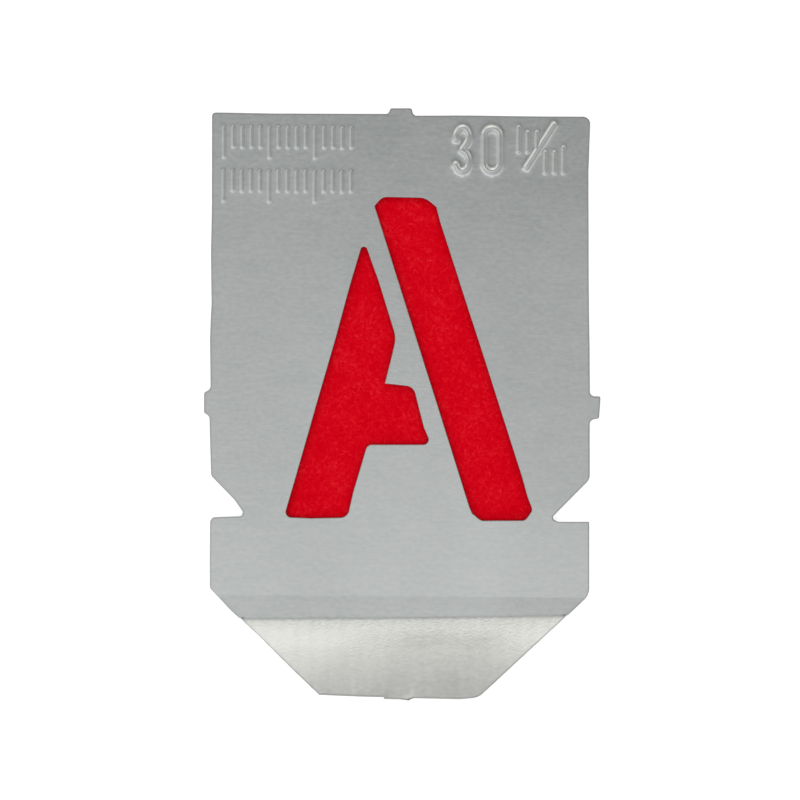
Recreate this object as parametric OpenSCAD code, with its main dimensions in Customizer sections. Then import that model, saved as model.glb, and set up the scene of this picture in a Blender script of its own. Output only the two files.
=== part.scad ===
// Lettering stencil: a thin zinc sheet with one capital letter cut through it,
// lying on a slip of red card that shows through the letter.
// Millimetres. The stencil lies flat: +Z is up, the top of the letter points
// to +Y, and the origin is under the middle of the outline, on the card's
// underside. Seen from above, the grip flap is at the bottom and bends up.

/* [Sheet] */
// Distance from the middle to the left edge of the sheet
left_x = 17.9; // [17.2:0.1:18.4]
// Distance from the middle to the right edge, below the side tab
right_x = 17.6; // [17.2:0.1:18.4]
// How far the right edge leans in by the time it reaches the top corner
right_lean = 0.3; // [0:0.1:0.6]
// Height of the top edge above the middle
top_y = 27.05; // [26.5:0.05:27.5]
// Thickness of the zinc sheet
sheet_t = 0.3; // [0.25:0.05:0.6]
// Radius of the sheet's top corners
corner_r = 0.5; // [0.2:0.1:1]

/* [Side notches] */
// Depth of the notches in from the sides
notch_depth = 3.3; // [2.8:0.1:3.6]
// Height of a notch's mouth
notch_mouth = 3.8; // [3.2:0.1:4.2]
// Height of the notches' straight floor, beside the letter's base line
notch_floor_y = -10.75; // [-11.2:0.05:-10.4]
// Radius inside the tip of a notch
notch_tip_r = 0.25; // [0.1:0.05:0.3]

/* [Grip flap] */
// Where the fold crosses the middle of the sheet
fold_y = -20.1; // [-20.6:0.1:-19.4]
// Angle by which the flap is bent up
flap_angle = 27; // [10:1:40]
// Radius on the inside of the fold
fold_r = 0.8; // [0.4:0.1:1.5]
// Angle by which the fold line is out of square
fold_skew = 1; // [-2:0.5:2]
// Height of the band above the fold, which begins to rise
band_h = 2.15; // [1:0.05:3]
// Angle by which that band rises toward the fold
band_rise = 1; // [0.5:0.5:3]
// Height of the flap's lower edge, seen from above
flap_y = -27.5; // [-27.5:0.05:-26.8]
// Width of the flap's lower edge
flap_w = 15; // [12:0.5:17]

/* [Break-off tabs] */
// Width of the four tab remnants
tab_w = 2.1; // [1.4:0.1:2.6]
// Distance from the middle to the ends of the side tabs
side_tab_x = 18.55; // [18.5:0.05:19.2]
// Distance from the middle to the ends of the top and bottom tabs
end_tab_y = 27.65; // [27.6:0.05:28.2]
// Radius of the fillets where a tab joins the sheet
tab_fillet = 0.3; // [0.1:0.05:0.3]

/* [Letter] */
// Height of the letter
letter_h = 30; // [28:0.1:30.5]
// Width of the long stroke, measured level
stroke_w = 5.65; // [5:0.05:6]
// How far the long stroke leans for each unit of height
stroke_lean = 0.325; // [0.31:0.005:0.34]
// Radius of the letter's corners
letter_r = 0.35; // [0.1:0.05:0.4]

/* [Raised marks] */
// Height of the raised figures
figure_h = 4.7; // [4:0.1:5]
// Width of one raised figure
figure_w = 2; // [1.8:0.1:2.2]
// Width of the raised strokes
mark_w = 0.7; // [0.5:0.05:0.8]
// How far the strokes stand above the sheet
relief = 0.2; // [0.1:0.05:0.25]
// Spacing of the plain measuring ticks
tick_pitch = 1; // [0.9:0.05:1.05]
// Number of ticks in a row
tick_count = 12; // [6:1:12]
// Height of the long ticks
tick_h = 3.2; // [2.6:0.1:3.2]

/* [Red card] */
// Width of the card
card_w = 27; // [24:0.5:27]
// Height of the card
card_h = 36; // [34:0.5:37]
// Thickness of the card
card_t = 0.25; // [0.15:0.05:0.5]
// Radius of the card's corners
card_r = 1; // [0.5:0.5:3]

/* [Hidden] */

face_z = card_t + sheet_t;             // upper face of the sheet
notch_y = notch_floor_y + notch_mouth; // upper end of a notch's mouth
letter_y = notch_floor_y - 0.05;       // the letter's base line
card_y = 4;                            // middle of the card
side_y = -17.4;                        // lower end of the sheet's sides
tab_side = tab_w / 2;
hollow_w = mark_w - 0.25;              // width of the hollows behind the marks

// ---- rounded outlines ----

function unit(v) = v / norm(v);

// Points along the arc of radius r that rounds the corner b between a and c.
function arc(a, b, c, r, n) =
    let (u = unit(a - b), w = unit(c - b),
         half = acos(max(-1, min(1, u * w))) / 2,
         m = b + unit(u + w) * r / sin(half),
         s = b + u * r / tan(half), e = b + w * r / tan(half),
         a0 = atan2(s.y - m.y, s.x - m.x),
         turn = (atan2(e.y - m.y, e.x - m.x) - a0 + 900) % 360 - 180)
    [for (i = [0:n]) m + r * [cos(a0 + turn * i / n), sin(a0 + turn * i / n)]];

// Outline through points [x, y, radius]; a radius of 0 leaves a sharp corner.
function rounded(p, n = 5) = [
    for (i = [0:len(p) - 1])
        let (a = p[(i + len(p) - 1) % len(p)], b = p[i], c = p[(i + 1) % len(p)])
        for (q = b[2] > 0 ? arc([a.x, a.y], [b.x, b.y], [c.x, c.y], b[2], n)
                          : [[b.x, b.y]]) q];

// ---- outline of the sheet, seen from above ----

module outline() {
    f = tab_fillet;
    t = tab_side;
    polygon(rounded([
        [-left_x - 0.05, top_y + 0.05, corner_r * 0.6],
        // top tab
        [-t - 0.3, top_y + 0.05, f], [-t - 0.3, end_tab_y, 0.05],
        [t - 0.3, end_tab_y, 0.05], [t - 0.3, top_y - 0.05, f],
        [right_x - right_lean, top_y - 0.05, corner_r],
        // right side and its tab
        [right_x - 0.05, 5, 0],
        [right_x - 0.05, t - 0.15, f], [side_tab_x, t - 0.15, 0.1],
        [side_tab_x - 0.1, -t - 0.2, 0.1], [right_x, -t - 0.2, f],
        // right notch
        [right_x, notch_y, corner_r],
        [right_x - notch_depth, notch_floor_y + 0.3, notch_tip_r],
        [right_x - notch_depth + 0.4, notch_floor_y - 0.05, notch_tip_r],
        [right_x, notch_floor_y - 0.1, 0],
        // right side below the notch, and the slanted sides of the flap
        [right_x, side_y - 0.15, corner_r * 0.8],
        [right_x - 2.2, side_y - 2.4, 0],
        [flap_w / 2 - 0.3, flap_y - 0.05, 0.6],
        // bottom tab
        [t, flap_y - 0.05, 0], [t, -end_tab_y, 0.03],
        [-t - 0.3, -end_tab_y, 0.03], [-t - 0.3, flap_y, 0],
        [-flap_w / 2, flap_y + 0.25, 0],
        [-left_x + 3.1, side_y - 3, 0],
        [-left_x + 0.05, side_y, corner_r / 2],
        // left notch
        [-left_x + 0.05, notch_floor_y + 0.1, 0.35],
        [-left_x + notch_depth - 0.4, notch_floor_y + 0.1, notch_tip_r],
        [-left_x + notch_depth, notch_floor_y + 0.45, notch_tip_r],
        [-left_x + 0.1, notch_y + 0.05, corner_r / 2],
        // left tab
        [-left_x - 0.05, -t, f], [-side_tab_x, -t, 0.05],
        [-side_tab_x, t - 0.05, 0.05], [-left_x - 0.05, t - 0.05, f],
    ]));
}

// ---- the letter: two openings parted by a slanted bridge ----

// Height above the base line, for a letter 30 high.
function up(v) = letter_y + v * letter_h / 30;
// Left edge of the long stroke.
function stroke_x(v) = -2.9 + (30 - v) * letter_h / 30 * stroke_lean;
// Outer edge of the short leg.
function leg_x(v) = -4.3 - (24 - v) * 0.275;

module long_stroke() polygon(rounded([
    [stroke_x(29.1), up(29.1), letter_r],
    [stroke_x(30) + 1, up(30), letter_r * 1.5],
    [stroke_x(30) + stroke_w - 0.9, up(30), letter_r * 1.5],
    [stroke_x(28.9) + stroke_w, up(28.9), letter_r],
    [stroke_x(0.9) + stroke_w, up(0.9), letter_r / 2],
    [stroke_x(0) + stroke_w - 1, up(0), letter_r / 2],
    [stroke_x(0) + 0.7, up(0), letter_r / 2],
    [stroke_x(0.9), up(0.9), letter_r / 2],
]));

module short_leg() polygon(rounded([
    [-3.7, up(26.1), 0.28],
    [-0.65, up(17.05), letter_r * 1.4],
    [-1.5, up(12.75), 0],
    [0.85, up(12.4), letter_r * 1.2],
    [2.7, up(7.05), letter_r],
    [-3.12, up(7), letter_r],
    [-5.15, up(0.1), letter_r],
    [leg_x(0.1), up(0.1), letter_r],
]));

// ---- raised marks ----

// Straight stroke of width w with round ends, from a to b.
module bar(a, b, w) {
    d = b - a;
    translate(a) rotate(atan2(d.y, d.x)) translate([0, -w / 2])
        square([norm(d), w]);
    translate(a) circle(d = w, $fn = 24);
    translate(b) circle(d = w, $fn = 24);
}

// Round stroke about m: middle radius r, starting at angle a, turning up to 180.
module bow(m, r, w, a, turn) {
    s = 2 * (r + w);
    translate(m) rotate(a) difference() {
        circle(r = r + w / 2, $fn = 48);
        circle(r = r - w / 2, $fn = 48);
        translate([-s / 2, -s]) square([s, s]);
        rotate(turn) translate([-s / 2, 0]) square([s, s]);
    }
}

// Plain figures, their lower left corner at the origin.
module figure_zero(w) {
    r = (figure_w - mark_w) / 2;
    m = figure_w / 2;
    top = figure_h - m;
    bow([m, top], r, w, 0, 180);
    bow([m, m], r, w, 180, 180);
    for (x = [m - r, m + r])
        translate([x - w / 2, m - 0.01]) square([w, top - m + 0.02]);
}

module figure_three(w) {
    r = (figure_w - mark_w) / 2;
    m = figure_w / 2;
    mid = figure_h / 2;
    top = figure_h - m;
    bowl = [
        [top, 0, 180],      // over the top
        [mid + r, 270, 90], // back in to the waist
        [mid - r, 0, 90],
        [m, 180, 180],      // round the foot
    ];
    for (b = bowl) bow([m, b[0]], r, w, b[1], b[2]);
    for (y = [mid + r, m])
        translate([m + r - w / 2, y - 0.01])
            square([w, top - mid - r + 0.02]);
    bar([m - r, top - 0.3], [m - r, top], w);
    bar([m - r, m], [m - r, m + 0.3], w);
    bar([m - 0.2, mid], [m, mid], w);
}

// Row of measuring ticks, every fifth one long; `side` is +1 to hang from the
// row's upper edge, or -1 to stand on its lower edge.
module tick_row(x, y, side, w) {
    for (i = [0:tick_count - 1]) {
        long = i % 5 == 0 ? tick_h : tick_h * 0.65;
        bar([x + i * tick_pitch, y - side * w / 2],
            [x + i * tick_pitch, y - side * (long - w / 2)], w);
    }
}

// All the marks. Behind each one the sheet is hollow, as punching leaves it.
module marks(w) {
    translate([4.4, 21.4]) figure_three(w);
    translate([7.2, 21.4]) figure_zero(w);
    // three short ticks on each side of a slanted stroke
    bar([11.5, 21.9], [13.9, 26], w * 0.8);
    for (i = [0:2]) {
        bar([10.7 + 0.85 * i, 24], [10.7 + 0.85 * i, i == 0 ? 26 : 25.4], w * 0.6);
        bar([13.2 + 0.85 * i, 21.8], [13.2 + 0.85 * i, i == 2 ? 23.8 : 23.2], w * 0.6);
    }
    tick_row(-16.9, 25.8, 1, w * 0.75);
    tick_row(-16.9, 19, -1, w * 0.75);
}

// ---- the sheet seen from its side ----

// Direction along the sheet, and the way up from it, where it slopes by a.
function along(a) = [-cos(a), -sin(a)];
function above(a) = [-sin(a), cos(a)];

// Cross-section in y and z: flat, then the rising band, the fold and the flap.
module section() {
    turn = flap_angle - band_rise;
    reach = fold_r * tan(turn / 2);
    crease = [band_h, face_z];
    fold = crease + along(-band_rise) * (band_h / cos(band_rise) - reach);
    m = fold + fold_r * above(-band_rise);
    steps = 8;
    function leaf(r) = [for (i = [0:steps])
        m - r * above(-band_rise - turn * i / steps)];
    inner = leaf(fold_r);
    outer = leaf(fold_r + sheet_t);
    tip = along(-flap_angle) * 11;
    polygon(concat(
        [[60, face_z], crease], inner, [inner[steps] + tip, outer[steps] + tip],
        [for (i = [0:steps]) outer[steps - i]],
        [crease - sheet_t * [0, 1], [60, card_t]]));
}

module stencil_plate() color([0.68, 0.69, 0.68]) {
    difference() {
        union() {
            intersection() {
                translate([0, fold_y, 0]) rotate(fold_skew) rotate([90, 0, 90])
                    translate([0, 0, -30]) linear_extrude(60) section();
                translate([0, 0, -1]) linear_extrude(12) outline();
            }
            translate([0, 0, face_z - 0.1]) linear_extrude(relief + 0.1)
                marks(mark_w);
        }
        translate([0, 0, -1]) linear_extrude(4) {
            long_stroke();
            short_leg();
        }
        translate([0, 0, -1]) linear_extrude(1 + card_t + relief)
            marks(hollow_w);
    }
}

module backing_card() color([0.82, 0.04, 0.1])
    linear_extrude(card_t) polygon(rounded([
        for (s = [[-1, -1], [1, -1], [1, 1], [-1, 1]])
            [s.x * card_w / 2, card_y + s.y * card_h / 2, card_r]]));

backing_card();
stencil_plate();
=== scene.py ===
"""Looks of the lettering stencil: the stamped zinc sheet and the red card slip under it.

Lengths are worked out in millimetres and turned into metres when a mesh is made.
+Z is up, +Y is toward the top of the letter, and the sheet's fold is at -Y.
"""

import math

import bpy
import numpy as np
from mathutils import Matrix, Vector
from mathutils.geometry import delaunay_2d_cdt


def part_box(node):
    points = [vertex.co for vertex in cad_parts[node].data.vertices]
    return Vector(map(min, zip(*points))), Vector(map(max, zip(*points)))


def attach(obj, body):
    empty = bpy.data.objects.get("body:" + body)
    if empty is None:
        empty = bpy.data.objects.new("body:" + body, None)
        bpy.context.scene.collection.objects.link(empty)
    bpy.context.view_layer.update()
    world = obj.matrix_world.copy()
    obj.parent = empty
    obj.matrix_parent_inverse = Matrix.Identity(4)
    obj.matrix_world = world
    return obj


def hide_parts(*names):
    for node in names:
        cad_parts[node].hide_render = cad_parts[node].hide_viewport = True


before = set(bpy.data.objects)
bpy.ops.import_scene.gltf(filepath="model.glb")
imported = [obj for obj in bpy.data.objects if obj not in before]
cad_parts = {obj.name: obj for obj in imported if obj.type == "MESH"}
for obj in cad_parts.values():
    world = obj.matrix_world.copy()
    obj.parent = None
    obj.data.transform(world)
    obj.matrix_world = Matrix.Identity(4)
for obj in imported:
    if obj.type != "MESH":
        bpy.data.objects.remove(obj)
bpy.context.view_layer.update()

MM = 0.001
SHEET_T = 0.30  # thickness of the zinc
CARD_T = 0.25  # thickness of the card
FACE_Z = CARD_T + SHEET_T + 0.01  # upper face of the sheet where it lies flat
CAM_D = 0.36  # camera distance, metres
CAM_XY = (-0.182, 0.378)  # where the camera looks, mm
PX = 0.09346  # one pixel of an 800-pixel frame, mm, on the sheet's face

# ------------------------------------------------------------------ outlines
# Points are (x, y, radius of the rounded corner), seen from above.

OUTER = [
    (-17.97, 27.09, 0.33), (-12.42, 27.03, 0), (-7.74, 27.05, 0), (-1.48, 27.09, 0.36),
    (-1.30, 27.62, 0.15), (0.64, 27.63, 0.15), (0.82, 26.94, 0.45), (5.94, 27.00, 0), (12.69, 26.97, 0),
    (17.36, 26.99, 0.65), (17.25, 22.91, 0), (17.22, 21.86, 0), (17.30, 14.89, 0), (17.41, 8.33, 0),
    (17.49, 5.49, 0), (17.55, 0.87, 0.47), (18.55, 0.88, 0.15), (18.43, -1.17, 0.15), (17.55, -1.34, 0.53),
    (17.61, -6.88, 1.03), (14.07, -10.50, 0.34), (14.60, -10.88, 0.60), (17.59, -10.85, 0),
    (17.65, -17.69, 1.46), (15.07, -20.17, 0), (11.93, -23.07, 0), (7.37, -27.38, 1.72), (5.60, -27.54, 0),
    (1.37, -27.47, 0), (1.08, -27.56, 0), (0.90, -27.67, 0), (0.43, -27.64, 0), (0.06, -27.59, 0), (-1.39, -27.59, 0),
    (-1.44, -27.41, 0), (-3.99, -27.36, 0),
    (-7.47, -27.24, 0), (-9.99, -24.87, 0), (-13.07, -21.88, 0), (-15.03, -20.12, 0), (-15.78, -19.44, 0),
    (-17.80, -17.35, 0.62), (-17.83, -12.60, 0), (-17.81, -10.70, 0.45), (-14.93, -10.58, 0.60),
    (-14.73, -10.23, 0.28), (-15.58, -9.05, 0), (-17.76, -6.85, 0.53), (-17.86, -4.35, 0),
    (-17.97, -1.29, 0.63), (-18.48, -0.97, 0.15), (-18.50, 0.90, 0.15), (-17.89, 1.24, 0.67),
    (-17.97, 5.91, 0), (-17.92, 7.65, 0), (-17.85, 9.24, 0), (-17.95, 14.02, 0), (-17.90, 18.66, 0),
]
LONG_STROKE = [
    (-2.68, 18.48, 0.15), (-1.97, 19.31, 0.94), (1.99, 19.26, 1.46), (3.02, 18.44, 0.40), (3.40, 17.05, 0),
    (5.96, 9.31, 0), (7.26, 5.46, 0), (8.86, 0.56, 0), (11.26, -6.75, 0), (11.77, -8.55, 0),
    (12.27, -9.82, 0.58), (11.59, -10.75, 0.55), (7.49, -10.81, 0.78), (6.67, -10.12, 0.28),
    (6.43, -9.58, 0), (4.48, -3.56, 0), (3.14, 0.60, 0), (1.70, 5.00, 0), (0.22, 9.55, 0),
    (-1.13, 13.73, 0),
]
SHORT_LEG = [
    (-3.70, 15.26, 0.28), (-2.30, 11.43, 0), (-0.64, 6.24, 2.48), (-0.94, 4.81, 0), (-1.65, 1.88, 0),
    (1.05, 1.61, 0.91), (2.04, -2.18, 0), (2.73, -3.74, 0.46), (-3.22, -3.80, 0.60), (-4.50, -8.21, 0),
    (-5.02, -10.62, 0.83), (-8.44, -10.72, 0), (-10.87, -10.63, 0.49), (-9.46, -5.57, 0), (-7.92, -0.00, 0),
    (-6.16, 6.28, 0), (-4.84, 11.33, 0),
]


def arc(a, b, c, r, n):
    """Points along the arc of radius r that rounds the corner b between a and c."""
    a, b, c = (np.array(p[:2], float) for p in (a, b, c))
    u, w = (a - b) / np.linalg.norm(a - b), (c - b) / np.linalg.norm(c - b)
    half = math.acos(max(-1.0, min(1.0, float(u @ w)))) / 2
    reach = min(r / math.tan(half), 0.45 * np.linalg.norm(a - b), 0.45 * np.linalg.norm(c - b))
    r = reach * math.tan(half)
    m = b + (u + w) / np.linalg.norm(u + w) * r / math.sin(half)
    s, e = b + u * reach, b + w * reach
    a0 = math.atan2(s[1] - m[1], s[0] - m[0])
    turn = (math.atan2(e[1] - m[1], e[0] - m[0]) - a0 + 3 * math.pi) % (2 * math.pi) - math.pi
    return [m + r * np.array([math.cos(a0 + turn * i / n), math.sin(a0 + turn * i / n)]) for i in range(n + 1)]


def rounded(points):
    out = []
    for i, b in enumerate(points):
        if b[2] > 0:
            n = max(3, min(8, int(b[2] / 0.05)))
            out += arc(points[i - 1], b, points[(i + 1) % len(points)], b[2], n)
        else:
            out.append(np.array(b[:2], float))
    return np.array(out)


def resampled(p, step):
    """The closed line p with no piece longer than step; its own points stay."""
    out = []
    for a, b in zip(p, np.roll(p, -1, axis=0)):
        n = max(1, math.ceil(np.linalg.norm(b - a) / step))
        out += [a + (b - a) * i / n for i in range(n)]
    return np.array(out)


def area(p):
    q = np.roll(p, -1, axis=0)
    return 0.5 * float(np.sum(p[:, 0] * q[:, 1] - q[:, 0] * p[:, 1]))


def inward(p):
    """For each point of a closed line round the metal, the step toward the metal that
    moves both sides by 1. The metal is on the left."""
    back, ahead = p - np.roll(p, 1, axis=0), np.roll(p, -1, axis=0) - p
    nb = np.stack([-back[:, 1], back[:, 0]], 1) / np.linalg.norm(back, axis=1)[:, None]
    na = np.stack([-ahead[:, 1], ahead[:, 0]], 1) / np.linalg.norm(ahead, axis=1)[:, None]
    m = nb + na
    m /= np.linalg.norm(m, axis=1)[:, None]
    return m / np.maximum(0.5, np.sum(m * na, axis=1))[:, None]


def inside(points, loop):
    """Which points lie inside a closed line."""
    x, y = points[:, 0][:, None], points[:, 1][:, None]
    a, b = loop, np.roll(loop, -1, axis=0)
    cross = (a[None, :, 1] > y) != (b[None, :, 1] > y)
    with np.errstate(divide="ignore", invalid="ignore"):
        at = (b[None, :, 0] - a[None, :, 0]) * (y - a[None, :, 1]) / (b[None, :, 1] - a[None, :, 1]) + a[None, :, 0]
    return (np.sum(cross & (x < at), axis=1) % 2) == 1


def distance(points, a, b, chunk=4000):
    """Distance from each point to the nearest of the line pieces a-b."""
    d = b - a
    l2 = np.maximum(np.sum(d * d, axis=1), 1e-12)
    out = np.empty(len(points))
    for i in range(0, len(points), chunk):
        p = points[i : i + chunk, None, :]
        t = np.clip(np.sum((p - a[None]) * d[None], axis=2) / l2[None], 0, 1)
        out[i : i + chunk] = np.min(np.linalg.norm(p - (a[None] + t[..., None] * d[None]), axis=2), axis=1)
    return out


def loop_distance(points, loop):
    return distance(points, loop, np.roll(loop, -1, axis=0))


def smooth(t):
    t = np.clip(t, 0, 1)
    return t * t * (3 - 2 * t)


# -------------------------------------------------------------- raised marks
# Centre lines of the punched strokes: plain figures and plain measuring ticks.


def bow(cx, cy, rx, ry, a0, a1, n=10):
    return [(cx + rx * math.cos(math.radians(a0 + (a1 - a0) * i / n)),
             cy + ry * math.sin(math.radians(a0 + (a1 - a0) * i / n))) for i in range(n + 1)]


def curve(points, n=4):
    """A smooth line through the points."""
    p = [points[0]] + list(points) + [points[-1]]
    out = []
    for a, b, c, d in zip(p[:-3], p[1:-2], p[2:-1], p[3:]):
        for i in range(n):
            t = i / n
            out.append(tuple(0.5 * (2 * b[k] + (c[k] - a[k]) * t + (2 * a[k] - 5 * b[k] + 4 * c[k] - d[k]) * t * t
                                    + (3 * b[k] - a[k] - 3 * c[k] + d[k]) * t**3) for k in (0, 1)))
    return out + [tuple(points[-1])]


FIGURE_THREE = [
    curve([(4.85, 24.80), (4.88, 25.26), (5.12, 25.68), (5.46, 25.84), (5.80, 25.68), (6.02, 25.20), (5.95, 24.60), (5.45, 23.82)]),
    curve([(5.45, 23.74), (5.82, 23.46), (6.03, 22.98), (6.03, 22.38), (5.82, 21.98), (5.44, 21.82), (5.08, 21.95), (4.85, 22.42)]),
]
FIGURE_ZERO = [bow(8.20, 25.11, 0.73, 0.73, 0, 180) + bow(8.22, 22.55, 0.73, 0.73, 180, 360) + [(8.93, 25.11)]]

MARKS = [(s, 0.31, 0.170) for s in FIGURE_THREE + FIGURE_ZERO]
MARKS.append(([(11.45, 22.24), (13.98, 26.22)], 0.29, 0.160))
for k in range(3):
    MARKS.append(([(10.70 + 0.85 * k, 23.72), (10.70 + 0.85 * k, 25.95 if k == 0 else 25.50)], 0.19, 0.110))
    MARKS.append(([(13.20 + 0.85 * k, 21.80), (13.20 + 0.85 * k, 24.10 if k == 2 else 23.65)], 0.19, 0.110))
for k in range(15):
    reach = 2.75 if k % 5 == 0 else 1.8
    wob = 0.03 * math.sin(2.3 * k)
    for top in (25.75, 21.65):
        MARKS.append(([(-16.85 + 0.85 * k, top + wob), (-16.83 + 0.85 * k, top + wob - reach)], 0.14, 0.080))

_groups = {}
for line, half, height in MARKS:
    g = _groups.setdefault((half, height), ([], []))
    for a, b in zip(line[:-1], line[1:]):
        g[0].append(a)
        g[1].append(b)
MARK_GROUPS = [(half, height, np.array(a, float), np.array(b, float)) for (half, height), (a, b) in _groups.items()]


def relief(p):
    """Height of the punched strokes above the sheet, at plan points p."""
    out = np.zeros(len(p))
    for half, height, a, b in MARK_GROUPS:
        near = (p[:, 0] > min(a[:, 0].min(), b[:, 0].min()) - 1.2) & (p[:, 0] < max(a[:, 0].max(), b[:, 0].max()) + 1.2) \
            & (p[:, 1] > min(a[:, 1].min(), b[:, 1].min()) - 1.2) & (p[:, 1] < max(a[:, 1].max(), b[:, 1].max()) + 1.2)
        if not near.any():
            continue
        d = distance(p[near], a, b)
        t = 1 - (np.sqrt(d * d + 0.05**2) - 0.05) / half  # straight flanks, rounded ridge and foot
        soft = np.exp(-((d / (half * 1.6)) ** 2)) * 0.08  # the metal drawn up beside a stroke
        h = height * (0.46 * (t + np.sqrt(t * t + 0.012)) + soft)
        out[near] = np.maximum(out[near], h)
    return out


# ------------------------------------------------------ form of the sheet
def fold_y(x):
    return -19.967 + 0.0176 * x + 0.0003 * x * x


def crease_y(x):
    return -17.97 + 0.001 * x


_v = np.linspace(-3, 12, 3001)
_angle = math.radians(1.0) * smooth((_v + 0.24) / 0.20) + math.radians(23.6) * smooth((_v + 0.008) / 0.024) \
    + (math.radians(4.48) * smooth((_v - 0.02) / 0.42) - math.radians(4.0) * np.clip((_v - 0.5) / 6.7, 0, 1.2)) * (_v > 0)
_rise = np.concatenate([[0], np.cumsum(np.tan((_angle[1:] + _angle[:-1]) / 2) * np.diff(_v))])
_rise -= np.interp(-2.5, _v, _rise)


# the flap leans a little more at its ends than in the middle, in degrees
LEAN_X = np.linspace(-16, 16, 33)
LEAN = np.convolve(np.interp(np.linspace(-18, 18, 37), [-18, -13, -8, -5, -1.5, 2.2, 6, 9, 12, 18],
                             [1.9, 1.95, 1.3, 0.7, -0.1, -0.57, -0.87, -0.70, 0.80, 1.9]), [0.1, 0.2, 0.4, 0.2, 0.1], "valid")


# and it isn't quite flat: its slope along y near the two sides
_y = np.linspace(-30, 30, 1201)
WARP_Y = [-30, -19.5, -18, -16.5, -15, -12.5, -10, -8, -4, 0, 4, 8, 12, 17, 19, 21, 24, 30]
WARP_L = np.cumsum(np.interp(_y, WARP_Y, [0, -.004, -.004, -.006, -.004, -.003, -.004, -.006, -.005, -.003, -.002, -.001, 0, 0, .002, .002, 0, 0])) * 0.05
WARP_R = np.cumsum(np.interp(_y, WARP_Y, [0, -.003, -.004, 0, .002, .003, -.003, -.009, -.008, -.006, -.006, -.002, 0, -.004, -.006, -.010, -.004, 0])) * 0.05
WARP_L -= np.interp(0, _y, WARP_L)
WARP_R -= np.interp(0, _y, WARP_R) - 0.05


def face(p):
    """Height of the sheet's upper face at plan points p."""
    x, y = p[:, 0], p[:, 1]
    v = fold_y(x) - y
    z = np.full(len(p), FACE_Z)
    z += np.interp(v + 0.012 * np.sin(4.3 * x + 0.4) + 0.009 * np.sin(9.1 * x + 1.9), _v, _rise)
    # the band above the fold starts to rise
    reach = np.clip(crease_y(x) - y, 0, crease_y(x) - fold_y(x))
    z += (math.tan(math.radians(1.0)) + 0.008 * smooth((x - 3) / 10)) * reach
    # the thin sheet isn't quite flat
    z += 0.035 + 0.06 * (1 - np.clip((y - 3.0) / 24.0, -1, 1) ** 2) + 0.012 * np.sin(0.21 * x + 0.13 * y + 0.6)
    z += smooth((-4 - x) / 7) * np.interp(y, _y, WARP_L) + smooth((x - 4) / 7) * np.interp(y, _y, WARP_R)
    flap = smooth((v - 0.3) / 2.5)
    lean = np.interp(x, LEAN_X, LEAN) * math.pi / 180
    z += flap * lean * v + flap * 0.004 * np.sin(1.1 * x + 0.7 * v)
    z += flap * (0.0023 * v - 0.0150) * v * np.exp(-(((x - 1.5) / 4.5) ** 2))
    # the torn end of the bottom tab curls
    z += 0.013 * np.exp(-(((x - 0.70) / 0.36) ** 2 + ((y + 27.52) / 0.20) ** 2)) * flap
    z += 0.022 * np.exp(-(((x - 0.90) / 0.55) ** 2 + ((y + 27.50) / 0.50) ** 2)) * flap
    z -= 0.026 * np.exp(-(((x + 1.20) / 0.34) ** 2 + ((y + 27.45) / 0.42) ** 2)) * flap
    return z + relief(p)


def normals(p):
    e = 0.02
    dx, dy = np.array([e, 0]), np.array([0, e])
    zx = (face(p + dx) - face(p - dx)) / (2 * e)
    zy = (face(p + dy) - face(p - dy)) / (2 * e)
    n = np.stack([-zx, -zy, np.ones(len(p))], 1)
    return n / np.linalg.norm(n, axis=1)[:, None]


def on_flap(loop):
    """The flap stands nearer the camera and shows its cut edge, so its upper face's
    outline is drawn in from the outline seen from above."""
    above = CAM_D / MM - FACE_Z
    centre = np.array(CAM_XY)
    out = loop.copy()
    bent = fold_y(loop[:, 0]) - loop[:, 1] > 0
    for _ in range(5):
        v = fold_y(out[:, 0]) - out[:, 1]
        turn = np.where(bent, np.interp(np.maximum(v, 0.05), _v, _angle), 0)
        lift = (face(out) - FACE_Z - SHEET_T * np.cos(turn)) * smooth((v + 0.2) / 0.4)
        out = centre + (loop - centre) * (1 - lift / above)[:, None]
        out[:, 1] += SHEET_T * np.sin(turn)
        out[:, 1] = np.where(bent, np.minimum(out[:, 1], fold_y(out[:, 0]) - 0.004), out[:, 1])
    return out


def ragged(loop, amount, seed):
    """A punched edge wanders a little."""
    s = np.concatenate([[0], np.cumsum(np.linalg.norm(np.diff(loop, axis=0), axis=1))])
    w = np.zeros(len(loop))
    total = s[-1] + np.linalg.norm(loop[0] - loop[-1])
    rng = np.random.default_rng(seed)
    for k in (7, 13, 23, 41, 67):
        w += rng.uniform(0.4, 1.0) * np.sin(2 * np.pi * k * s / total + rng.uniform(0, 6.28)) / (1 + k / 25)
    return loop + inward(loop) * (w * amount)[:, None]


# ------------------------------------------------------ mesh of the sheet
BURR_R, HOLD = 0.045, 0.035


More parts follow.
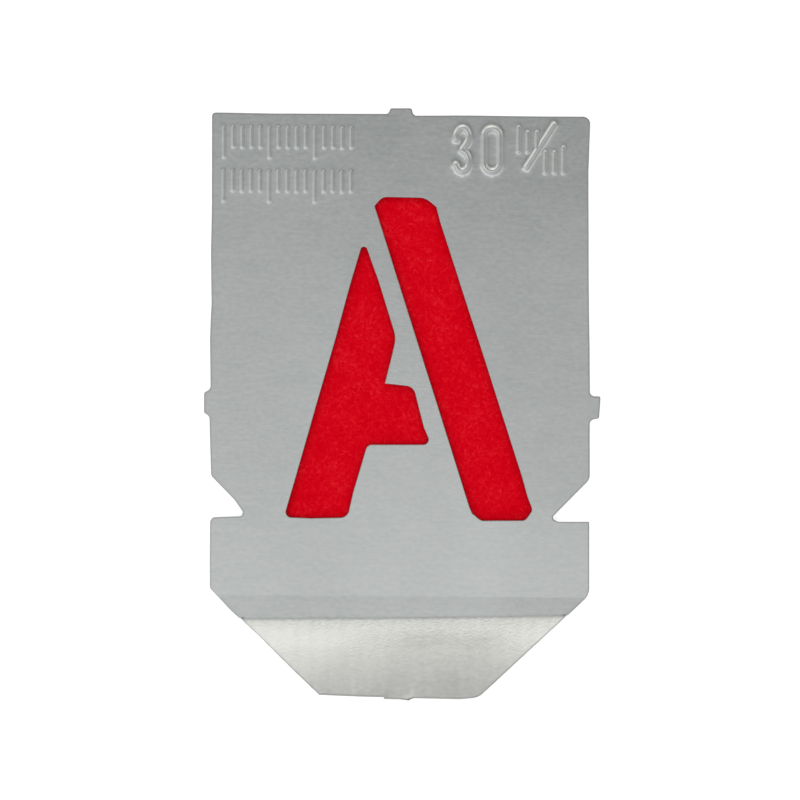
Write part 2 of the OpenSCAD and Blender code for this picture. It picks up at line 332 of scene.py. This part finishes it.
def edge_form(loop, outer):
    """Radius of the upper edge and how dull and darkened its cut is, point by point. The
    darkening is partly the dull sheared metal and partly painted shade: heaviest along the
    head, the left side and the torn tab, lightest at the foot and the notches. The outside of
    the plate is rolled over the most; the flap's edge is crisp and catches the light."""
    if not outer:
        return np.full(len(loop), 0.04), np.full(len(loop), 0.9)
    v = fold_y(loop[:, 0]) - loop[:, 1]
    t = smooth((v + 0.3) / 0.6)
    head = smooth((loop[:, 1] - 26.3) / 0.4)
    left = smooth((-16.5 - loop[:, 0]) / 0.5) * smooth((loop[:, 1] - 0) / 3)
    foot = smooth((np.abs(loop[:, 0]) - 16.5) / 0.5) * smooth((-11 - loop[:, 1]) / 1)
    tab = np.exp(-(((loop[:, 0] - 0.93) / 0.18) ** 2)) * smooth((-27 - loop[:, 1]) / 0.3)
    notch = smooth((np.abs(loop[:, 0]) - 14.2) / 0.4) * smooth((loop[:, 1] + 11.2) / 0.2) * smooth((-10.3 - loop[:, 1]) / 0.2)
    # painted shade: how dark the cut edge is coloured is set region by region here, on top of the dull metal
    dull_and_shade = 0.74 + 0.26 * np.maximum(head, 0.45 * left) - 0.22 * foot - 0.35 * notch - 0.74 * t + 0.38 * smooth((v - 1) / 5) + 0.5 * tab
    return 0.085 - 0.053 * t, np.clip(dull_and_shade, 0, 1)


def sheet_mesh():
    loops = []
    for i, pts in enumerate((OUTER, LONG_STROKE, SHORT_LEG)):
        p = rounded(pts)
        if (area(p) > 0) != (i == 0):  # the metal is on the left of every loop
            p = p[::-1]
        p = resampled(p, 0.22)
        p = ragged(p, 0.004, 11 + i)
        if i == 0:
            p = on_flap(p)
            low = smooth((fold_y(p[:, 0]) - p[:, 1] - 1.0) / 2.0)
            head = smooth((p[:, 1] - 26.3) / 0.4)
            side = np.where(p[:, 0] < 0, 0.014 * smooth((p[:, 1] - 2) / 8), 0.020 * smooth((p[:, 1] - 12) / 4)) * (1 - head)
            notch = smooth((-14.6 - p[:, 0]) / 0.4) * smooth((p[:, 1] + 11.1) / 0.2) * smooth((-10.3 - p[:, 1]) / 0.2)
            p -= inward(p) * (0.022 * low + np.where(p[:, 0] < 0, 0.015, 0.022) * head + side - 0.035 * notch)[:, None]
        else:
            p = p + inward(p) * 0.022
        loops.append(p)

    form = [edge_form(p, i == 0) for i, p in enumerate(loops)]
    rims = [p + inward(p) * (r + HOLD)[:, None] for p, (r, _) in zip(loops, form)]
    inner = [p + inward(p) * (r + HOLD + 0.085)[:, None] for p, (r, _) in zip(loops, form)]

    # points inside: a fine net over the marks, a coarser one elsewhere
    def net(x0, x1, y0, y1, h):
        ys = np.arange(y0, y1, h * math.sqrt(3) / 2)
        rows = [np.stack([np.arange(x0 + (h / 2 if j % 2 else 0), x1, h), np.full(len(np.arange(x0 + (h / 2 if j % 2 else 0), x1, h)), y)], 1) for j, y in enumerate(ys)]
        return np.concatenate(rows)

    def near(points, wide):
        g = [g for g in MARK_GROUPS if (g[0] > 0.30) == wide]
        return distance(points, np.concatenate([q[2] for q in g]), np.concatenate([q[3] for q in g]))

    wide = net(3.7, 10.2, 20.7, 26.7, 0.085)
    wide = wide[near(wide, True) < 0.42]
    slim = np.concatenate([net(-17.7, -4.2, 18.2, 26.5, 0.072), net(9.7, 15.9, 20.9, 26.7, 0.072)])
    slim = slim[(near(slim, False) < 0.36) & (near(slim, True) > 0.48)]
    mid = np.concatenate([net(-17.7, -4.0, 18.0, 26.9, 0.20), net(3.3, 16.3, 20.3, 26.9, 0.20)])
    mid = mid[(near(mid, True) > 0.50) & (near(mid, False) > 0.43)]
    fine = np.concatenate([wide, slim])
    coarse = net(-18.4, 18.4, -27.4, 27.5, 0.42)
    in_mid = ((coarse[:, 0] > -17.8) & (coarse[:, 0] < -3.9) & (coarse[:, 1] > 17.9) & (coarse[:, 1] < 26.95)) | \
        ((coarse[:, 0] > 3.2) & (coarse[:, 0] < 16.4) & (coarse[:, 1] > 20.2) & (coarse[:, 1] < 26.95))
    v = fold_y(coarse[:, 0]) - coarse[:, 1]
    c = crease_y(coarse[:, 0]) - coarse[:, 1]
    coarse = coarse[~in_mid & ((v < -0.34) | (v > 0.80)) & (np.abs(c) > 0.2)]
    rows = []
    for off in (-0.66, -0.50, -0.36, -0.26, -0.18, -0.12, -0.075, -0.042, -0.020, -0.009, 0.004, 0.017, 0.028, 0.05, 0.08, 0.12, 0.17, 0.23):
        xs = np.arange(-15.6, 15.6, 0.16)
        wander = 0.012 * np.sin(4.3 * xs + 0.4) + 0.009 * np.sin(9.1 * xs + 1.9)
        rows.append(np.stack([xs, fold_y(xs) - off + wander], 1))
    for off in (-0.10, -0.03, 0.03, 0.10):
        xs = np.arange(-17.9, 17.9, 0.35)
        rows.append(np.stack([xs, crease_y(xs) - off], 1))
    curl = net(-1.8, 1.9, -27.8, -26.4, 0.12)
    coarse = coarse[~((coarse[:, 0] > -2.0) & (coarse[:, 0] < 2.1) & (coarse[:, 1] < -26.3))]
    pts = np.concatenate([fine, mid, coarse, curl] + rows)
    keep = inside(pts, rims[0]) & ~inside(pts, rims[1]) & ~inside(pts, rims[2])
    pts = pts[keep]
    clear = np.min([loop_distance(pts, r) for r in rims], axis=0)
    pts = pts[clear > 0.14]
    ring = inner[0]
    ring = ring[inside(ring, rims[0]) & (loop_distance(ring, rims[0]) > 0.07) & (loop_distance(ring, rims[1]) > 0.07)]
    ring = ring[np.abs(fold_y(ring[:, 0]) - ring[:, 1]) > 0.7]
    pts = np.concatenate([pts, ring])

    rim_all = np.concatenate(rims)
    n_rim = len(rim_all)
    edges, start = [], 0
    for r in rims:
        edges += [(start + i, start + (i + 1) % len(r)) for i in range(len(r))]
        start += len(r)
    verts2 = np.concatenate([rim_all, pts])
    out = delaunay_2d_cdt([Vector(map(float, p)) for p in verts2], edges, [], 0, 1e-7, True)
    back = [ids[0] if ids else None for ids in out[3]]
    if None in back or len(out[0]) != len(verts2):
        raise RuntimeError(f"the triangulation changed the points: {len(verts2)} to {len(out[0])}")
    tris = np.array([[back[i] for i in f] for f in out[2]], int)
    mid_pt = verts2[tris].mean(axis=1)
    ok = inside(mid_pt, rims[0]) & ~inside(mid_pt, rims[1]) & ~inside(mid_pt, rims[2])
    tris = tris[ok]
    a, b, c3 = (verts2[tris[:, k]] for k in range(3))
    signed = (b[:, 0] - a[:, 0]) * (c3[:, 1] - a[:, 1]) - (b[:, 1] - a[:, 1]) * (c3[:, 0] - a[:, 0])
    tris[signed < 0] = tris[signed < 0][:, ::-1]

    top_z, n = face(verts2), normals(verts2)
    top = np.column_stack([verts2, top_z])
    bottom = top - n * SHEET_T
    N = len(verts2)

    # the cut edge, loop by loop from the upper face to the lower one: shares of the
    # upper radius, then lengths of their own
    steps = [(1, 0, 0, 0)]
    for deg in (22.5, 45, 67.5, 90):
        s, co = math.sin(math.radians(deg)), math.cos(math.radians(deg))
        steps.append((1 - s, 1 - co, 0, 0))
    s45 = math.sin(math.radians(45))
    steps += [(0, 1, 0, HOLD), (0, 0, 0, SHEET_T - BURR_R - HOLD), (0, 0, 0, SHEET_T - BURR_R),
              (0, 0, BURR_R * (1 - s45), SHEET_T - BURR_R * (1 - s45)), (0, 0, BURR_R, SHEET_T)]
    coords = [top, bottom]
    face_rim_shade = np.zeros(2 * N)
    # painted shade: the upper face just inside the outer edge is drawn toward the dark edge colour
    face_rim_shade[: len(rims[0])] = np.clip(form[0][1] * 0.42 - 0.14, 0, 1)
    cut = [face_rim_shade]
    faces = [tuple(t) for t in tris] + [tuple(int(i) + N for i in t[::-1]) for t in tris]
    base = 2 * N
    start = 0
    for p, (r, dull_and_shade) in zip(loops, form):
        m = len(p)
        step = inward(p)
        rings = [np.arange(start, start + m)]
        for k, (r_off, r_depth, off, depth) in enumerate(steps):
            # the cut edge's rings take the dark edge colour step by step: partly dull sheared metal, partly painted
            # shade
            cut.append(dull_and_shade * (0.3, 0.5, 0.9, 1.0, 1.0, 1.0, 1.0, 1.0, 1.0, 0.5)[k])
            depth = (r * r_depth + depth)[:, None]
            q = p + step * (r * r_off + off)[:, None]
            ring = np.column_stack([q, face(q)]) - normals(q) * depth
            coords.append(ring)
            rings.append(np.arange(base, base + m))
            base += m
        rings.append(np.arange(start, start + m) + N)
        for r0, r1 in zip(rings[:-1], rings[1:]):
            for i in range(m):
                j = (i + 1) % m
                faces.append((int(r0[j]), int(r0[i]), int(r1[i]), int(r1[j])))
        start += m
    coords = np.concatenate(coords)
    v = fold_y(coords[:, 0]) - coords[:, 1]
    bent = smooth((v - 0.02) / 0.25) * (0.22 + 0.78 * np.exp(-((v / 3.0) ** 2)))
    return coords, faces, np.concatenate(cut), bent


def new_object(name, coords, faces, material):
    mesh = bpy.data.meshes.new(name)
    mesh.from_pydata((coords * MM).tolist(), [], [tuple(map(int, f)) for f in faces])
    mesh.validate()
    mesh.polygons.foreach_set("use_smooth", [True] * len(mesh.polygons))
    mesh.materials.append(material)
    mesh.update()
    obj = bpy.data.objects.new(name, mesh)
    bpy.context.scene.collection.objects.link(obj)
    return obj


# ------------------------------------------------------------- red card slip
def card_mesh():
    lo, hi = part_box("backing_card")
    x0, y0, x1, y1 = lo.x / MM, lo.y / MM, hi.x / MM, hi.y / MM
    step = 0.36
    nx, ny = int((x1 - x0) / step), int((y1 - y0) / step)
    rng = np.random.default_rng(5)
    xs = np.linspace(x0 + 0.03, x1 - 0.03, nx + 1)
    ys = np.linspace(y0 + 0.03, y1 - 0.03, ny + 1)
    X, Y = np.meshgrid(xs, ys, indexing="ij")
    X, Y = X.copy(), Y.copy()
    # cut corners are rounded, and the cut edges wander a little
    cx, cy, hw, hh, r = (x0 + x1) / 2, (y0 + y1) / 2, (x1 - x0) / 2, (y1 - y0) / 2, 1.0
    ux, uy = X - cx, Y - cy
    ax, ay = np.abs(ux) - (hw - 3 * r), np.abs(uy) - (hh - 3 * r)
    corner = (ax > 0) & (ay > 0)
    t = np.where(corner, np.clip((ax / (3 * r)) * (ay / (3 * r)), 0, 1), 0)
    X -= np.sign(ux) * t**3 * 0.30
    Y -= np.sign(uy) * t**3 * 0.30
    fuzz = rng.normal(0, 1, X.shape)
    for _ in range(2):
        fuzz = (fuzz + np.roll(fuzz, 1, 0) + np.roll(fuzz, -1, 0) + np.roll(fuzz, 1, 1) + np.roll(fuzz, -1, 1)) / 5
    fuzz /= np.abs(fuzz).max()
    P = np.stack([X, Y], -1)
    top = CARD_T - 0.012 + 0.007 * fuzz
    bot = np.clip(0.004 + 0.004 * np.roll(fuzz, 7, 0), 0.0, 1)
    n = (nx + 1) * (ny + 1)
    idx = np.arange(n).reshape(nx + 1, ny + 1)
    top_v = np.column_stack([P.reshape(-1, 2), top.ravel()])
    bot_v = np.column_stack([P.reshape(-1, 2), bot.ravel()])
    faces = []
    for i in range(nx):
        for j in range(ny):
            a, b, c, d = idx[i, j], idx[i + 1, j], idx[i + 1, j + 1], idx[i, j + 1]
            faces.append((a, b, c, d))
            faces.append((n + a, n + d, n + c, n + b))
    ring = [idx[i, 0] for i in range(nx)] + [idx[nx, j] for j in range(ny)] \
        + [idx[i, ny] for i in range(nx, 0, -1)] + [idx[0, j] for j in range(ny, 0, -1)]
    ring = np.array(ring)
    m = len(ring)
    fray = rng.normal(0, 0.012, m)
    mids = []
    centre = np.array([cx, cy])
    edge = P.reshape(-1, 2)[ring]
    out_dir = np.stack([np.sign(np.where(np.abs(np.abs(edge[:, 0] - cx) - (hw - 0.03)) < 0.4, edge[:, 0] - cx, 0)),
                        np.sign(np.where(np.abs(np.abs(edge[:, 1] - cy) - (hh - 0.03)) < 0.4, edge[:, 1] - cy, 0))], 1)
    for k, (z, o) in enumerate(((0.20, 0.012), (0.125, 0.018), (0.05, 0.012))):
        q = edge + out_dir * (o + np.clip(fray * (1 if k == 1 else 0.6), -0.012, 0.010))[:, None]
        mids.append(np.column_stack([q, np.full(m, z)]))
    coords = np.concatenate([top_v, bot_v] + mids)
    rings = [ring] + [2 * n + k * m + np.arange(m) for k in range(3)] + [ring + n]
    for r0, r1 in zip(rings[:-1], rings[1:]):
        for i in range(m):
            j = (i + 1) % m
            faces.append((r0[j], r0[i], r1[i], r1[j]))
    return coords, faces


# ------------------------------------------------------------------ materials
def tree(name):
    mat = bpy.data.materials.new(name)
    mat.use_nodes = True
    nt = mat.node_tree
    nt.nodes.clear()
    out = nt.nodes.new("ShaderNodeOutputMaterial")
    bsdf = nt.nodes.new("ShaderNodeBsdfPrincipled")
    nt.links.new(bsdf.outputs[0], out.inputs[0])
    return mat, nt, bsdf


def node(nt, kind, inputs=None, **props):
    n = nt.nodes.new(kind)
    for k, v in props.items():
        setattr(n, k, v)
    for k, v in (inputs or {}).items():
        s = n.inputs[k]
        if isinstance(v, bpy.types.NodeSocket):
            nt.links.new(v, s)
        else:
            s.default_value = v
    return n


def scaled(nt, vector, sx, sy, sz, turn=0.0):
    m = node(nt, "ShaderNodeMapping", {"Vector": vector})
    m.inputs["Scale"].default_value = (sx, sy, sz)
    m.inputs["Rotation"].default_value = (0, 0, turn)
    return m.outputs[0]


def ramp(nt, fac, stops):
    r = node(nt, "ShaderNodeValToRGB", {"Fac": fac})
    el = r.color_ramp.elements
    while len(el) < len(stops):
        el.new(0.5)
    for e, (pos, val) in zip(el, stops):
        e.position = pos
        e.color = (val, val, val, 1) if isinstance(val, (int, float)) else (*val, 1)
    return r.outputs[0]


def mix(nt, kind, fac, a, b):
    m = node(nt, "ShaderNodeMix", data_type="RGBA", blend_type=kind)
    for s, v in ((m.inputs[0], fac), (m.inputs[6], a), (m.inputs[7], b)):
        if isinstance(v, bpy.types.NodeSocket):
            nt.links.new(v, s)
        elif isinstance(v, (int, float)) and s.type == "RGBA":
            s.default_value = (v, v, v, 1)
        elif isinstance(v, (int, float)):
            s.default_value = v
        else:
            s.default_value = (*v, 1)
    return m.outputs[2]


def math_node(nt, op, a, b=0.0, clamp=False):
    m = node(nt, "ShaderNodeMath", operation=op, use_clamp=clamp)
    for s, v in ((m.inputs[0], a), (m.inputs[1], b)):
        if isinstance(v, bpy.types.NodeSocket):
            nt.links.new(v, s)
        else:
            s.default_value = v
    return m.outputs[0]


def zinc():
    mat, nt, bsdf = tree("zinc_sheet")
    at = node(nt, "ShaderNodeTexCoord").outputs["Object"]
    # rolling lines run across the sheet, faint and broken, over a dull mottle
    lines = node(nt, "ShaderNodeTexNoise", {"Vector": scaled(nt, at, 500, 4800, 500), "Scale": 1.0, "Detail": 3.0, "Roughness": 0.6}).outputs[0]
    broad = node(nt, "ShaderNodeTexNoise", {"Vector": scaled(nt, at, 110, 700, 110), "Scale": 1.0, "Detail": 3.0, "Roughness": 0.55}).outputs[0]
    clouds = node(nt, "ShaderNodeTexNoise", {"Vector": scaled(nt, at, 260, 330, 260), "Scale": 1.0, "Detail": 4.0, "Roughness": 0.6}).outputs[0]
    mottle = node(nt, "ShaderNodeTexNoise", {"Vector": scaled(nt, at, 2000, 2500, 2000), "Scale": 1.0, "Detail": 2.0, "Roughness": 0.5}).outputs[0]
    tone = mix(nt, "MIX", 0.35, clouds, broad)
    tone = mix(nt, "MIX", 0.22, tone, lines)
    tone = mix(nt, "MIX", 0.42, tone, mottle)
    colour = ramp(nt, tone, [(0.30, (0.405, 0.4175, 0.405)), (0.50, (0.440, 0.4500, 0.440)), (0.70, (0.475, 0.4825, 0.475))])
    # the sheared edge is dull, and its near-black colour is partly painted shade
    cut = node(nt, "ShaderNodeAttribute", attribute_name="cut").outputs["Fac"]
    colour = mix(nt, "MIX", cut, colour, (0.105, 0.103, 0.099))
    nt.links.new(colour, bsdf.inputs["Base Color"])
    rough = ramp(nt, tone, [(0.30, 0.20), (0.70, 0.27)])
    rough = mix(nt, "MIX", cut, rough, 0.6)
    nt.links.new(rough, bsdf.inputs["Roughness"])
    bsdf.inputs["Metallic"].default_value = 1.0
    height = mix(nt, "MIX", 0.30, mottle, lines)
    height = mix(nt, "MIX", 0.25, height, broad)
    # bending has roughened the flap, most of all beside the fold, and broken its rolling lines
    bent = node(nt, "ShaderNodeAttribute", attribute_name="bent").outputs["Fac"]
    strong = node(nt, "ShaderNodeMapRange", {0: bent, 1: 0.0, 2: 0.2, 3: 0.155, 4: 0.012}).outputs[0]
    bump = node(nt, "ShaderNodeBump", {"Height": height, "Strength": strong, "Distance": 0.00004})
    peel = node(nt, "ShaderNodeTexNoise", {"Vector": scaled(nt, at, 4000, 4600, 4000, 0.5), "Scale": 1.0, "Detail": 3.0, "Roughness": 0.6}).outputs[0]
    wear = node(nt, "ShaderNodeBump", {"Height": peel, "Strength": 1.0, "Distance": math_node(nt, "MULTIPLY", bent, 0.000013), "Normal": bump.outputs[0]})
    nt.links.new(wear.outputs[0], bsdf.inputs["Normal"])
    return mat


def red_card():
    mat, nt, bsdf = tree("red_card")
    at = node(nt, "ShaderNodeTexCoord").outputs["Object"]
    swirl = node(nt, "ShaderNodeTexNoise", {"Vector": at, "Scale": 900.0, "Detail": 2.0, "Roughness": 0.5}).outputs[1]
    bent = node(nt, "ShaderNodeVectorMath", {0: at, 1: node(nt, "ShaderNodeVectorMath", {0: swirl, "Scale": 0.0014}, operation="SCALE").outputs[0]}, operation="ADD").outputs[0]
    # short pale fibres lying every way in the red pulp
    f1 = node(nt, "ShaderNodeTexNoise", {"Vector": scaled(nt, bent, 1900, 4600, 1900, 0.7), "Scale": 1.0, "Detail": 2.0, "Roughness": 0.6}).outputs[0]
    f2 = node(nt, "ShaderNodeTexNoise", {"Vector": scaled(nt, bent, 4600, 1900, 1900, 0.3), "Scale": 1.0, "Detail": 2.0, "Roughness": 0.6}).outputs[0]
    fibre = math_node(nt, "MAXIMUM", f1, f2)
    clouds = node(nt, "ShaderNodeTexNoise", {"Vector": at, "Scale": 420.0, "Detail": 3.0, "Roughness": 0.6}).outputs[0]
    tone = mix(nt, "MIX", 0.25, fibre, clouds)
    colour = ramp(nt, tone, [
        (0.44, (0.634, 0.0003, 0.0075)), (0.52, (0.676, 0.0013, 0.0096)),
        (0.60, (0.717, 0.0047, 0.0136)), (0.70, (0.784, 0.0171, 0.0251)),
    ])
    nt.links.new(colour, bsdf.inputs["Base Color"])
    bsdf.inputs["Roughness"].default_value = 0.95
    bsdf.inputs["Specular IOR Level"].default_value = 0.0
    bump = node(nt, "ShaderNodeBump", {"Height": tone, "Strength": 0.25, "Distance": 0.00006})
    nt.links.new(bump.outputs[0], bsdf.inputs["Normal"])
    return mat


# --------------------------------------------------------------- the pieces
coords, faces, cut, bent = sheet_mesh()
sheet = new_object("zinc_sheet", coords, faces, zinc())
# per point: how far the colour is drawn to the dark edge (dull cut plus painted shade), then how bent the flap is
sheet.data.attributes.new("cut", "FLOAT", "POINT").data.foreach_set("value", cut.astype(np.float32))
sheet.data.attributes.new("bent", "FLOAT", "POINT").data.foreach_set("value", bent.astype(np.float32))
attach(sheet, "sheet")
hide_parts("stencil_plate")

coords, faces = card_mesh()
card = new_object("red_card_slip", coords, faces, red_card())
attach(card, "card")
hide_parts("backing_card")

# ------------------------------------------------------------ table and light
scene = bpy.context.scene


def table_top():
    mat, nt, bsdf = tree("pale_table")
    at = node(nt, "ShaderNodeTexCoord").outputs["Object"]
    n = node(nt, "ShaderNodeTexNoise", {"Vector": at, "Scale": 60.0, "Detail": 3.0}).outputs[0]
    nt.links.new(ramp(nt, n, [(0.3, 0.45), (0.7, 0.47)]), bsdf.inputs["Base Color"])
    bsdf.inputs["Roughness"].default_value = 0.9
    bsdf.inputs["Specular IOR Level"].default_value = 0.1
    bsdf.inputs["Emission Color"].default_value = (1, 1, 1, 1)  # a light table
    bsdf.inputs["Emission Strength"].default_value = 0.74
    mesh = bpy.data.meshes.new("table")
    s = 3.0
    mesh.from_pydata([(-s, -s, 0), (s, -s, 0), (s, s, 0), (-s, s, 0)], [], [(0, 1, 2, 3)])
    mesh.materials.append(mat)
    obj = bpy.data.objects.new("table", mesh)
    obj.location.z = -0.00002
    scene.collection.objects.link(obj)


table_top()

world = bpy.data.worlds.new("studio")
scene.world = world
world.use_nodes = True
wt = world.node_tree
wt.nodes.clear()
w_out = wt.nodes.new("ShaderNodeOutputWorld")
w_bg = wt.nodes.new("ShaderNodeBackground")
# A tent of soft light: a bright panel low at the head of the sheet (+Y), a dim
# gap overhead where the camera hangs, and a broad panel on the flap's side (-Y).
# Stops are degrees from overhead, + toward +Y.
SKY = [
    (-90, 0.95), (-60, 0.92), (-35, 0.96), (-25, 1.04), (-18, 1.36), (-12, 1.60), (-7, 1.44), (-3, 1.17), (1, 0.88), (5, 0.58),
    (10, 0.35), (16, 0.42), (24, 0.64), (34, 0.90), (42, 0.84), (48, 0.73), (54, 1.86), (58, 2.99), (65, 2.90), (75, 2.60), (90, 2.40),
]
TOP = 3.0  # the ramps below hold shares of this


def tint(a):
    """Cool overhead, warm from the panel at the head of the sheet."""
    return tuple(float(np.interp(a, [-20, 5, 25, 50], v)) for v in ((1, 1, 1, 1), (1.0, 1.028, 1.02, 0.988), (1.01, 1.038, 1.02, 0.95)))


w_dir = wt.nodes.new("ShaderNodeTexCoord").outputs["Generated"]
w_xyz = node(wt, "ShaderNodeSeparateXYZ", {0: w_dir}).outputs
w_phi = math_node(wt, "ARCTAN2", w_xyz[1], w_xyz[2])
w_fac = math_node(wt, "MULTIPLY_ADD", w_phi, 1 / math.pi)
w_fac.node.inputs[2].default_value = 0.5
w_col = ramp(wt, w_fac, [((a + 90) / 180, tuple(v / TOP * c for c in tint(a))) for a, v in SKY])
# plain light from the two sides, and a little more on the left than on the right
w_abs = math_node(wt, "ABSOLUTE", w_xyz[0])
w_mix = node(wt, "ShaderNodeMapRange", {0: w_abs, 1: 0.35, 2: 0.85, 3: 0.0, 4: 1.0}, interpolation_type="SMOOTHSTEP").outputs[0]
w_up = node(wt, "ShaderNodeMapRange", {0: w_xyz[2], 1: 0.55, 2: 0.70, 3: 1.0, 4: 0.0}, interpolation_type="SMOOTHSTEP").outputs[0]
w_head = node(wt, "ShaderNodeMapRange", {0: w_xyz[1], 1: 0.12, 2: 0.42, 3: 0.0, 4: 1.0}, interpolation_type="SMOOTHSTEP").outputs[0]
w_side = mix(wt, "MIX", math_node(wt, "MULTIPLY", w_up, w_head), (0.95 / TOP, 0.955 / TOP, 0.94 / TOP), (2.40 / TOP, 2.38 / TOP, 2.28 / TOP))
w_col = mix(wt, "MIX", w_mix, w_col, w_side)
# the panel at the head ends above the table: below it the room is dim
w_low = node(wt, "ShaderNodeMapRange", {0: w_xyz[2], 1: 0.40, 2: 0.57, 3: 0.68, 4: 0.0}, interpolation_type="SMOOTHSTEP").outputs[0]
w_front = node(wt, "ShaderNodeMapRange", {0: w_xyz[1], 1: 0.08, 2: 0.36, 3: 0.0, 4: 1.0}, interpolation_type="SMOOTHSTEP").outputs[0]
w_dim = math_node(wt, "SUBTRACT", 1.0, math_node(wt, "MULTIPLY", w_low, w_front))
w_col = mix(wt, "MULTIPLY", 1.0, w_col, node(wt, "ShaderNodeCombineXYZ", {0: w_dim, 1: w_dim, 2: w_dim}).outputs[0])
w_half = math_node(wt, "MULTIPLY_ADD", w_xyz[0], 0.5)
w_half.node.inputs[2].default_value = 0.5
w_left = ramp(wt, w_half, [((x + 1) / 2, f / 1.4) for x, f in [(-0.8, 1.04), (-0.45, 1.13), (-0.2, 1.12), (0.2, 0.88), (0.45, 0.82), (0.8, 0.72)]])
w_col = mix(wt, "MULTIPLY", 1.0, w_col, w_left)
wt.links.new(w_col, w_bg.inputs["Color"])
w_bg.inputs["Strength"].default_value = TOP * 1.4
wt.links.new(w_bg.outputs[0], w_out.inputs[0])


# ------------------------------------------------------------------- camera
cam = bpy.data.cameras.new("camera")
cam.type = "PERSP"
cam.sensor_width = 36.0
cam.lens = 36.0 * (CAM_D - FACE_Z * MM) / (800 * PX * MM)
cam.clip_start, cam.clip_end = 0.01, 10
cam_obj = bpy.data.objects.new("camera", cam)
cam_obj.location = (CAM_XY[0] * MM, CAM_XY[1] * MM, CAM_D)
cam_obj.rotation_euler = (0, 0, math.radians(0.5))
scene.collection.objects.link(cam_obj)
scene.camera = cam_obj

scene.view_settings.view_transform = "Standard"
scene.view_settings.look = "None"
scene.view_settings.exposure = 0.0
scene.view_settings.gamma = 1.0
